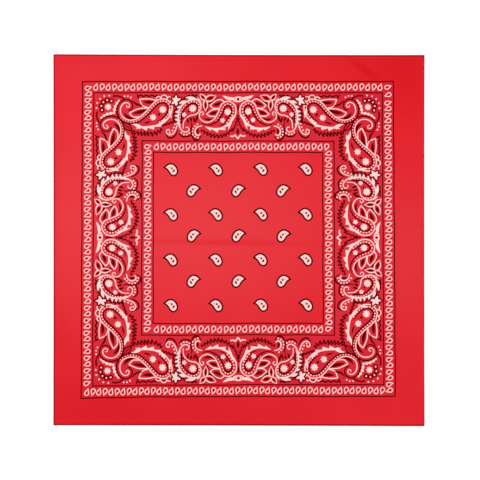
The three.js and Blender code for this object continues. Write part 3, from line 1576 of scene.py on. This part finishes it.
class SharedEffects:
    """Node groups that several finishes use, each built once."""

    WEAVE = "Plain weave"
    WEAR = "Washed cloth"
    THREADS = 2300.0  # threads a metre, each way
    CLOUDS = 9.0
    MOTTLES = 220.0

    @classmethod
    def weave(cls) -> bpy.types.NodeTree:
        """Build the plain weave: threads over and under, uneven yarn and the gaps between.

        Returns:
            The group, which gives the height, the gaps and the thickness of the yarn.
        """
        if cls.WEAVE in bpy.data.node_groups:
            return bpy.data.node_groups[cls.WEAVE]
        outputs = ("Height", "Gap", "Yarn")
        board = start_group(cls.WEAVE, {"Vector": None, "Thread Count": cls.THREADS, "Slub": 0.5}, outputs)
        given = board.add("NodeGroupInput").outputs
        wobble = board.add("ShaderNodeTexNoise", {"Vector": given["Vector"], "Scale": 160.0, "Detail": 1.0})
        shift = board.vector("SUBTRACT", {0: wobble.outputs["Color"], 1: (0.5, 0.5, 0.5)})
        shift = board.vector("SCALE", {0: shift, "Scale": 0.0005})
        place = board.vector("ADD", {0: given["Vector"], 1: shift})
        axes = board.add("ShaderNodeSeparateXYZ", {0: place}).outputs
        threads = [board.math("MULTIPLY", axes[i], given["Thread Count"]) for i in (0, 1)]
        waves = [board.math("SINE", board.math("MULTIPLY", thread, math.pi)) for thread in threads]
        humps = [board.math("ABSOLUTE", wave) for wave in waves]
        cells = board.math("ADD", *(board.math("FLOOR", thread) for thread in threads))
        over = board.math("FLOORED_MODULO", cells, 2.0)
        warp = board.math("MULTIPLY", over, humps[0])
        weft = board.math("MULTIPLY", board.math("SUBTRACT", 1.0, over), humps[1])
        both = board.math("MULTIPLY", *humps)
        surface = board.math("MULTIPLY", board.math("ADD", warp, weft), board.math("SQRT", both))
        slubs = []
        for stretch in ((1.0, 0.03, 1.0), (0.03, 1.0, 1.0)):
            along = board.add("ShaderNodeMapping", {"Vector": given["Vector"], "Scale": stretch}).outputs[0]
            slubs.append(board.ramp(board.noise(along, 900.0, 1.0), 0.42, 0.78))
        yarn = board.math("MULTIPLY", board.math("ADD", *slubs), given["Slub"])
        height = board.math("ADD", surface, board.math("MULTIPLY", yarn, 0.5))
        gap = board.ramp(both, 0.0, 0.12, 1.0, 0.0)
        board.add("NodeGroupOutput", {"Height": height, "Gap": gap, "Yarn": yarn})
        return board.tree

    @classmethod
    def wear(cls) -> bpy.types.NodeTree:
        """Build the slow clouds of a washed cloth's colour, and its fine mottling.

        Returns:
            The group, which gives both from 0 to 1.
        """
        if cls.WEAR in bpy.data.node_groups:
            return bpy.data.node_groups[cls.WEAR]
        inputs = {"Vector": None, "Cloud Size": cls.CLOUDS, "Mottle Size": cls.MOTTLES}
        board = start_group(cls.WEAR, inputs, ("Cloud", "Mottle"))
        given = board.add("NodeGroupInput").outputs
        cloud = board.ramp(board.noise(given["Vector"], given["Cloud Size"], 3.0), 0.3, 0.7)
        mottle = board.ramp(board.noise(given["Vector"], given["Mottle Size"]), 0.25, 0.75)
        board.add("NodeGroupOutput", {"Cloud": cloud, "Mottle": mottle})
        return board.tree


@dataclass(frozen=True)
class CottonFinish:
    """Woven cotton, dyed or printed: the colours of its thread tops, their shade and what shows between."""

    name: str
    pale: Colour
    deep: Colour
    between: Colour
    sheen: float
    specular: float
    roughness: float = 0.9
    # The next three colours are mixed in by the painted light and shade level: a paler painted-light tone, a
    # deeper tone that also carries painted shade, and the rolled rim's painted shade.
    painted_lit_tone: Colour | None = None
    deep_tone_and_shade: Colour | None = None
    rim: Colour = (0.16, 0.0, 0.002, 1)
    dulled: Colour = (0.4, 0.025, 0.06, 1)
    dulling: float = 0.22
    cloud: float = 0.55
    mottle: float = 0.3
    slub: float = 0.3
    gap: float = 0.35
    fibres: float = 5200.0
    bump: float = 0.35
    relief: float = 0.00005

    def material(self) -> bpy.types.Material:
        """Build the material on object coordinates.

        Returns:
            The material.
        """
        material = bpy.data.materials.new(self.name)
        material.use_nodes = True
        board = NodeBoard(material.node_tree)
        place = board.add("ShaderNodeTexCoord").outputs["Object"]
        weave = board.group(SharedEffects.weave(), Vector=place).outputs
        wear = board.group(SharedEffects.wear(), Vector=place).outputs
        clouds = board.math("MULTIPLY", wear["Cloud"], self.cloud)
        shade = board.math("ADD", clouds, board.math("MULTIPLY", wear["Mottle"], self.mottle))
        shade = board.math("ADD", shade, board.math("MULTIPLY", weave["Yarn"], self.slub))
        tops = board.mix(shade, self.deep, self.pale)
        if self.painted_lit_tone and self.deep_tone_and_shade:
            # The mesh's painted light and shade level: above 0 towards the painted-light tone, below 0
            # towards the deeper tone with painted shade, below -1 towards the rim's painted shade.
            fading = board.add("ShaderNodeAttribute", attribute_name=PaintedLightAndGround.attribute).outputs["Fac"]
            tops = board.mix(board.ramp(fading, 0.0, 1.0), tops, self.painted_lit_tone)
            tops = board.mix(board.ramp(fading, 0.0, -1.0), tops, self.deep_tone_and_shade)
            tops = board.mix(board.ramp(fading, -1.0, -2.0), tops, self.rim)
            printed = board.add("ShaderNodeAttribute", attribute_name=PaintedLightAndGround.printed).outputs["Fac"]
            tops = board.mix(board.math("MULTIPLY", printed, self.dulling), tops, self.dulled)
        # Gaps between threads mix towards between: on the dyed cotton a darker red, painted shade in the
        # weave's recesses; on the inks the red cloth that shows through.
        colour = board.mix(board.math("MULTIPLY", weave["Gap"], self.gap), tops, self.between)
        rough = board.ramp(weave["Yarn"], 0.0, 1.0, self.roughness - 0.06, self.roughness + 0.04)
        fibre = board.math("MULTIPLY", board.noise(place, self.fibres), 0.4)
        relief = {"Strength": self.bump, "Distance": self.relief}
        relief["Height"] = board.math("ADD", weave["Height"], fibre)
        board.surface(
            {
                "Base Color": colour,
                "Roughness": rough,
                "Specular IOR Level": self.specular,
                "Sheen Weight": self.sheen,
                "Sheen Roughness": 0.5,
                "Normal": board.add("ShaderNodeBump", relief).outputs[0],
            }
        )
        return material


@dataclass(frozen=True)
class ThreadFinish:
    """Twisted sewing thread: strands that wind round each stitch, with a slight gloss."""

    name: str = "Hem thread"
    # pale on the strands' ridges and deep in the grooves between them: painted light and shade of the twist.
    pale: Colour = (0.72, 0.03, 0.05, 1)
    deep: Colour = (0.5, 0.008, 0.015, 1)
    strands: float = 5200.0
    fibres: float = 6000.0
    relief: float = 0.00008

    def material(self) -> bpy.types.Material:
        """Build the material; its slanted bands read as twist along either side.

        Returns:
            The material.
        """
        material = bpy.data.materials.new(self.name)
        material.use_nodes = True
        board = NodeBoard(material.node_tree)
        place = board.add("ShaderNodeTexCoord").outputs["Object"]
        axes = board.add("ShaderNodeSeparateXYZ", {0: place}).outputs
        turns = board.math("MULTIPLY", board.math("ADD", axes[0], axes[1]), self.strands)
        strand = board.math("ABSOLUTE", board.math("SINE", turns))
        fibre = board.noise(place, self.fibres)
        # Paler on the strands' ridges and deeper in the grooves, partly fibre noise: painted light and shade
        # of the twist.
        shade = board.math("ADD", board.math("MULTIPLY", strand, 0.6), board.math("MULTIPLY", fibre, 0.4))
        relief = {"Strength": 0.5, "Distance": self.relief, "Height": shade}
        board.surface(
            {
                "Base Color": board.mix(shade, self.deep, self.pale),
                "Roughness": board.ramp(strand, 0.0, 1.0, 0.62, 0.5),
                "Specular IOR Level": 0.35,
                "Sheen Weight": 0.15,
                "Normal": board.add("ShaderNodeBump", relief).outputs[0],
            }
        )
        return material


@dataclass(frozen=True)
class FloorFinish:
    """A matt white studio floor."""

    name: str = "Studio floor"
    white: Colour = (0.98, 0.98, 0.98, 1)
    off_white: Colour = (0.96, 0.96, 0.96, 1)

    def material(self) -> bpy.types.Material:
        """Build the material, with the faintest unevenness.

        Returns:
            The material.
        """
        material = bpy.data.materials.new(self.name)
        material.use_nodes = True
        board = NodeBoard(material.node_tree)
        place = board.add("ShaderNodeTexCoord").outputs["Object"]
        colour = board.mix(board.noise(place, 3.0), self.off_white, self.white)
        board.surface({"Base Color": colour, "Roughness": 0.9, "Specular IOR Level": 0.2})
        return material


DYED_COTTON = CottonFinish(
    "Red cotton",
    pale=(0.72, 0.012, 0.022, 1),
    deep=(0.6, 0.006, 0.013, 1),
    # Darker red in the gaps between threads: painted shade in the weave's recesses.
    between=(0.4, 0.003, 0.006, 1),
    sheen=0.03,
    specular=0.22,
    # A paler painted-light tone, and a deeper tone that also carries painted shade.
    painted_lit_tone=(0.7, 0.032, 0.042, 1),
    deep_tone_and_shade=(0.6, 0.0, 0.006, 1),
)
LIGHT_INK = CottonFinish(
    "Light print",
    pale=(0.97, 0.66, 0.62, 1),
    deep=(0.9, 0.54, 0.51, 1),
    between=(0.8, 0.2, 0.19, 1),
    sheen=0.05,
    specular=0.2,
)
BLACK_INK = CottonFinish(
    "Black print",
    pale=(0.135, 0.0, 0.002, 1),
    deep=(0.075, 0.0, 0.001, 1),
    between=(0.16, 0.0, 0.002, 1),
    sheen=0.0,
    specular=0.0,
)


# ---------------------------------------------------------------- pieces


CLEAR = 0.02  # millimetres that keep two surfaces apart


def finished(name: str, bm: bmesh.types.BMesh, material: bpy.types.Material) -> bpy.types.Object:
    """Turn a bmesh into a smooth piece that rides on the cloth's one body.

    Args:
        name: The piece's name.
        bm: Its mesh, in metres, in place.
        material: Its finish.

    Returns:
        The piece.
    """
    mesh = bpy.data.meshes.new(name)
    for face in bm.faces:
        face.smooth = True
    bm.to_mesh(mesh)
    bm.free()
    # Writes the painted light and shade level and the printed ground on the piece's points.
    PaintedLightAndGround().mark(mesh)
    piece = bpy.data.objects.new(name, mesh)
    bpy.context.scene.collection.objects.link(piece)
    mesh.materials.append(material)
    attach(piece, "root")
    return piece


@dataclass(frozen=True)
class ClothPanel:
    """The printed square, its four edges rolled over the turned hems."""

    lay: Lay
    cells: int = 182
    strips: tuple[float, float] = (1.2, 0.7)
    roll_steps: int = 6

    @property
    def roll(self) -> float:
        """Outer radius of the rolled edge, in millimetres."""
        return (self.lay.hem_stack + self.lay.cloth) / 2

    def build(self) -> bpy.types.Object:
        """Make the top side, roll its border under and give it the cloth's thickness.

        Returns:
            The piece.
        """
        edge = self.lay.half - self.roll - sum(self.strips)
        bm = bmesh.new()
        bmesh.ops.create_grid(bm, x_segments=self.cells, y_segments=self.cells, size=edge)
        rim = [e for e in bm.edges if e.is_boundary]
        turns = arc(0, self.roll, 90, -180, self.roll_steps)
        for move in [*self.strips, *(after - before for before, after in zip(turns, turns[1:]))]:
            made = bmesh.ops.extrude_edge_only(bm, edges=rim)["geom"]
            rim = [e for e in made if isinstance(e, bmesh.types.BMEdge) and e.is_boundary]
            for vert in (v for v in made if isinstance(v, bmesh.types.BMVert)):
                for axis in (0, 1):
                    if abs(vert.co[axis]) > edge - CLEAR:
                        vert.co[axis] += move.real if vert.co[axis] > 0 else -move.real
                vert.co.z += move.imag
        bmesh.ops.recalc_face_normals(bm, faces=bm.faces)
        bm.normal_update()
        if min(bm.faces, key=lambda face: face.calc_center_median().length).normal.z < 0:
            bmesh.ops.reverse_faces(bm, faces=bm.faces)
        for vert in bm.verts:
            x, y, drop = vert.co
            vert.co = self.lay.place(x, y, self.lay.top(x, y) + drop)
        bm.normal_update()
        piece = finished("cloth_panel", bm, DYED_COTTON.material())
        wall = piece.modifiers.new("Cloth thickness", "SOLIDIFY")
        wall.thickness = self.lay.cloth * MM
        wall.offset = -1
        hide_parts("panel")
        return piece


@dataclass(frozen=True)
class TurnedHem:
    """One side's hem: the cloth turned under twice, a flat fold with a rounded inner edge."""

    lay: Lay
    name: str
    node: str
    turn: int
    half_length: float
    outer: float = 0.55
    step_back: float = 0.5
    fold_steps: int = 5
    cells: int = 180

    def profile(self) -> Path:
        """Draw the section: two layers folded at the inner edge, with a slit between them.

        Returns:
            The outline: real part inwards from the side's edge, imaginary part up.
        """
        stack = self.lay.hem_stack - CLEAR
        layer = (stack - CLEAR) / 2
        fold = self.lay.hem_width - stack / 2
        inner_fold = arc(complex(fold, stack / 2), stack / 2, -90, 180, self.fold_steps)
        cut_back = self.outer + self.step_back
        slit = [complex(cut_back, layer + CLEAR), complex(fold, stack / 2), complex(self.outer, layer)]
        return [complex(self.outer, 0), *inner_fold, complex(cut_back, stack), *slit]

    def build(self, material: bpy.types.Material) -> bpy.types.Object:
        """Sweep the section along the side and lay it under the panel's edge.

        Args:
            material: The cloth's finish.

        Returns:
            The piece.
        """
        bm = bmesh.new()
        corners = [bm.verts.new((spot.real, -self.half_length, spot.imag)) for spot in self.profile()]
        cap = bm.faces.new(corners)
        swept = bmesh.ops.extrude_face_region(bm, geom=[cap], use_keep_orig=True)["geom"]
        far = [v for v in swept if isinstance(v, bmesh.types.BMVert)]
        bmesh.ops.translate(bm, verts=far, vec=(0, 2 * self.half_length, 0))
        runs = [e for e in bm.edges if e.calc_length() > self.half_length]
        bmesh.ops.subdivide_edges(bm, edges=runs, cuts=self.cells, use_grid_fill=True)
        bmesh.ops.recalc_face_normals(bm, faces=bm.faces)
        turn = cmath.rect(1, math.radians(self.turn))
        for vert in bm.verts:
            inwards, along, height = vert.co
            at = complex(along, self.lay.half - inwards) * turn
            x, y = at.real, at.imag
            bed = self.lay.under(x, y) - self.lay.hem_lift(x, y)
            vert.co = self.lay.place(x, y, bed + height)
        bmesh.ops.recalc_face_normals(bm, faces=bm.faces)
        piece = finished(self.name, bm, material)
        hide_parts(self.node)
        return piece


@dataclass(frozen=True)
class HemStitching:
    """A line of lockstitch round the square, its loops lying on the top and on the under side."""

    lay: Lay
    pitch: float = 2.9
    length: float = 2.35
    thread: float = 0.32
    sunk: float = 0.1
    yaw: float = 4.0
    yaw_step: float = 2.3

    def build(self) -> bpy.types.Object:
        """Lay each stitch as a small plump bead of thread in its own dent.

        Returns:
            The piece.
        """
        bead = bmesh.new()
        bmesh.ops.create_uvsphere(bead, u_segments=6, v_segments=4, radius=1)
        radius = self.thread / 2 * MM
        bmesh.ops.scale(bead, verts=bead.verts, vec=(self.length / 2 * MM, radius, radius))
        bm = bmesh.new()
        reach = self.lay.half - self.lay.seam_inset
        count = round(2 * reach / self.pitch)
        for turn in QUARTER_TURNS:
            for i in range(count):
                along = reach * (2 * (i + 0.5) / count - 1)
                heading = cmath.phase(turn) + math.radians(self.yaw * math.sin(i * self.yaw_step))
                for under in (False, True):
                    place = self.place(complex(along, reach) * turn, heading, under)
                    corners = {vert: bm.verts.new(place @ vert.co) for vert in bead.verts}
                    for face in bead.faces:
                        bm.faces.new([corners[vert] for vert in face.verts])
        bead.free()
        return finished("hem_stitching", bm, ThreadFinish().material())

    def place(self, at: Spot, heading: float, under: bool) -> Matrix:
        """Return where one stitch lies.

        Args:
            at: Its middle, on the true square.
            heading: Its direction, in radians.
            under: Whether it lies on the under side.

        Returns:
            The move that takes a stitch from the origin to its place.
        """
        x, y = at.real, at.imag
        if under:
            height = self.lay.under(x, y) - self.lay.hem_lift(x, y) + self.thread / 2 - CLEAR
        else:
            height = self.lay.top(x, y) + self.thread / 2 - self.sunk
        return Matrix.Translation(self.lay.place(x, y, height)) @ Matrix.Rotation(heading, 4, "Z")


Prints = list[tuple[Stamp, list[Move]]]


@dataclass(frozen=True)
class InkFilm:
    """Everything printed in one ink: a film that follows the cloth just above its threads."""

    lay: Lay
    frame: PrintFrame
    name: str
    ink: Ink
    finish: CottonFinish
    film: float = 0.05
    longest: float = 3.4

    def build(self, prints: Prints) -> bpy.types.Object:
        """Print every stamp in its places and lay the film on the cloth.

        Args:
            prints: Each stamp, with the moves to its places.

        Returns:
            The piece.
        """
        bm = bmesh.new()
        for stamp, moves in prints:
            for move in moves:
                self.print_once(bm, stamp, move)
        long = [e for e in bm.edges if e.calc_length() > self.longest]
        bmesh.ops.subdivide_edges(bm, edges=long, cuts=1)
        bmesh.ops.triangulate(bm, faces=bm.faces)
        for vert in bm.verts:
            x, y = self.lay.unplan(vert.co.x, vert.co.y)
            vert.co = Vector((vert.co.x * MM, vert.co.y * MM, (self.lay.top(x, y) + self.film) * MM))
        for face in bm.faces:
            face.normal_update()
            if face.normal.z < 0:
                face.normal_flip()
        return finished(self.name, bm, self.finish.material())

    def print_once(self, bm: bmesh.types.BMesh, stamp: Stamp, move: Move) -> None:
        """Add one stamp's patches of this ink, flat, in millimetres.

        Args:
            bm: What they are added to.
            stamp: The stamp.
            move: The move to its place in the true square print.
        """
        corners: dict[int, bmesh.types.BMVert] = {}
        for patch in stamp.patches[self.ink]:
            for i in patch:
                if i not in corners:
                    spot = self.frame.lay(move(stamp.points[i]))
                    corners[i] = bm.verts.new((spot.real, spot.imag, 0))
            bm.faces.new([corners[i] for i in patch])


@dataclass(frozen=True)
class Bandana:
    """The whole bandana: printed cloth, hems and stitching."""

    lay: Lay = Lay()
    frame: PrintFrame = PrintFrame()
    side_half: float = 274.4
    between_half: float = 269.6

    def hems(self, material: bpy.types.Material) -> list[bpy.types.Object]:
        """Make the four hems; those at the top and the bottom lie between the other two.

        Args:
            material: The cloth's finish.

        Returns:
            The pieces.
        """
        sides = (
            ("top", 0, self.between_half),
            ("left", 90, self.side_half),
            ("bottom", 180, self.between_half),
            ("right", 270, self.side_half),
        )
        return [
            TurnedHem(self.lay, f"turned_hem_{side}", f"hem_{side}", turn, half).build(material)
            for side, turn, half in sides
        ]

    def prints(self) -> Prints:
        """Cut each stamp once and list its places.

        Returns:
            Each stamp, with the moves to its places.
        """
        unit = BorderUnit(self.frame)
        sprigs = FieldSprigs()
        drop_moves = [move for row in DropBands().rows() for move in row.moves()]
        return [
            (Stamp.cut(unit.draw(), unit.outline()), unit.moves()),
            (Stamp.cut(RingedDrop().draw()), drop_moves),
            (Stamp.cut(sprigs.draw()), sprigs.moves()),
            (Stamp.cut(self.frame.lines()), [lambda spot: spot]),
        ]

    def build(self) -> list[bpy.types.Object]:
        """Returns:
            The pieces.
        """
        cloth = ClothPanel(self.lay).build()
        hems = self.hems(cloth.data.materials[0])
        prints = self.prints()
        inks = [
            InkFilm(self.lay, self.frame, "print_light", Ink.LIGHT, LIGHT_INK).build(prints),
            InkFilm(self.lay, self.frame, "print_black", Ink.DARK, BLACK_INK).build(prints),
        ]
        stitching = HemStitching(self.lay).build()
        return [cloth, *hems, *inks, stitching]


# ---------------------------------------------------------------- studio


@dataclass(frozen=True)
class Studio:
    """A white floor, soft light from the upper left and a camera straight above."""

    floor_half: float = 15.0
    ambient: float = 0.65
    key_from: tuple[float, float, float] = (-1.2, 2.0, 4.6)
    key_power: float = 163.0
    key_size: float = 1.7
    camera_over: tuple[float, float] = (0.0016, 0.0002)
    camera_height: float = 1.9768
    lens: float = 100.0

    def build(self) -> None:
        """Set up the floor, the room's light, the key light and the camera."""
        scene = bpy.context.scene
        scene.view_settings.view_transform = "Standard"
        self.floor()
        world = bpy.data.worlds.new("Soft white room")
        world.use_nodes = True
        board = NodeBoard(world.node_tree)
        glow = board.add("ShaderNodeBackground", {"Color": (1, 1, 1, 1), "Strength": self.ambient})
        board.add("ShaderNodeOutputWorld", {"Surface": glow.outputs[0]})
        scene.world = world
        key = bpy.data.lights.new("Key", "AREA")
        key.energy = self.key_power
        key.size = self.key_size
        towards = (-Vector(self.key_from)).to_track_quat("-Z", "Y")
        self.put(key, Vector(self.key_from)).rotation_euler = towards.to_euler()
        camera = bpy.data.cameras.new("Camera")
        camera.lens = self.lens
        scene.camera = self.put(camera, Vector((*self.camera_over, self.camera_height)))

    def floor(self) -> None:
        """Lay the floor at the height that the cloth rests on."""
        bm = bmesh.new()
        bmesh.ops.create_grid(bm, x_segments=8, y_segments=8, size=self.floor_half)
        mesh = bpy.data.meshes.new("floor")
        bm.to_mesh(mesh)
        bm.free()
        mesh.materials.append(FloorFinish().material())
        floor = bpy.data.objects.new("floor", mesh)
        bpy.context.scene.collection.objects.link(floor)

    @staticmethod
    def put(data: bpy.types.ID, at: Vector) -> bpy.types.Object:
        """Place a light or a camera.

        Args:
            data: The light or the camera.
            at: Its place.

        Returns:
            Its object.
        """
        placed = bpy.data.objects.new(data.name, data)
        placed.location = at
        bpy.context.scene.collection.objects.link(placed)
        return placed


def main() -> None:
    """Build the studio and the bandana, and report each piece's count of faces."""
    logging.basicConfig(level=logging.INFO, format="%(name)s: %(message)s")
    Studio().build()
    for piece in Bandana().build():
        LOG.info("%s: %d faces", piece.name, len(piece.data.polygons))


if __name__ == "__main__":
    main()
